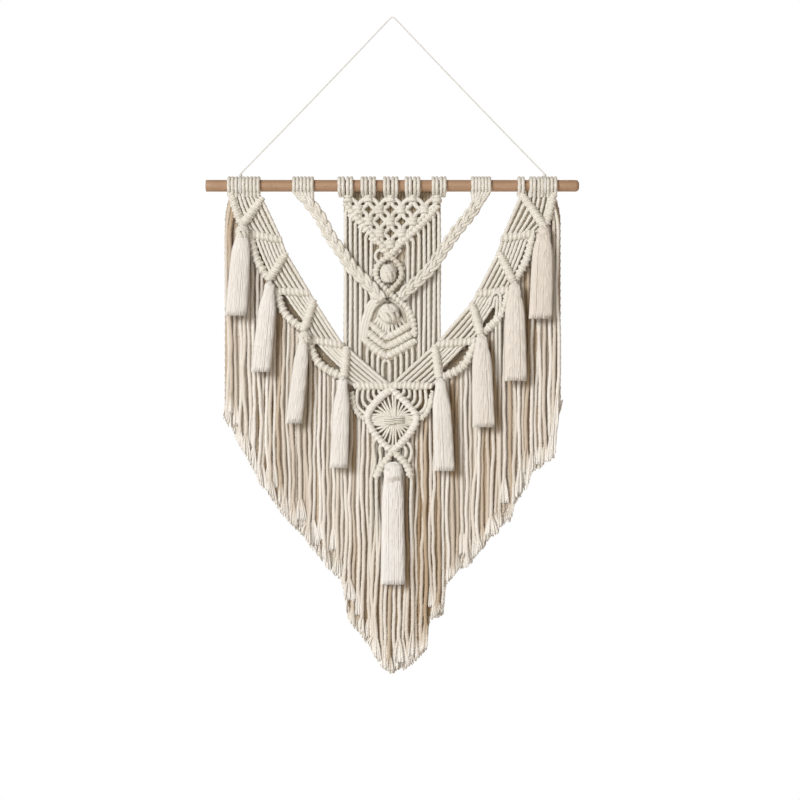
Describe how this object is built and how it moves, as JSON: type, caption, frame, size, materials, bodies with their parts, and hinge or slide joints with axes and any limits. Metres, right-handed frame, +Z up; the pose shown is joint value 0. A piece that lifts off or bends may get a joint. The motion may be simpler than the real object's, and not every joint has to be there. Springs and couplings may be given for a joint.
{
  "type": "macrame wall hanging on a wooden dowel",
  "caption": "Knotted cotton cord wall hanging on a round wooden dowel, with a net and braids above a V of swags, a hitched diamond, tassels and a long pointed fringe, hung by a thin cord.",
  "frame": {"origin": "the underside of the hanging cord's crown, where it rests on the nail", "axes": "+Z up, -Y out of the wall towards the viewer, +X along the dowel to the viewer's right"},
  "size_m": [0.4, 0.0231, 0.7037],
  "materials": {
    "dowel_wood": "satin",
    "hanger_cord": "matte",
    "cotton_cord": "matte",
    "cotton_tassel": "matte",
    "cotton_fringe": "matte"
  },
  "bodies": {
    "root": {"dowel": "dowel_wood", "hanger_cord": "hanger_cord", "hanger_tie_left": "hanger_cord", "hanger_tie_right": "hanger_cord", "center_panel": "cotton_cord", "left_braid": "cotton_cord", "right_braid": "cotton_cord", "left_swag": "cotton_cord", "right_swag": "cotton_cord", "center_diamond": "cotton_cord", "left_tassel_1": "cotton_tassel", "left_tassel_2": "cotton_tassel", "left_tassel_3": "cotton_tassel", "left_tassel_4": "cotton_tassel", "right_tassel_1": "cotton_tassel", "right_tassel_2": "cotton_tassel", "right_tassel_3": "cotton_tassel", "right_tassel_4": "cotton_tassel", "center_tassel": "cotton_tassel", "fringe_front_left": "cotton_fringe", "fringe_front_right": "cotton_fringe", "fringe_back_left": "cotton_fringe", "fringe_back_right": "cotton_fringe"}
  },
  "joints": []
}
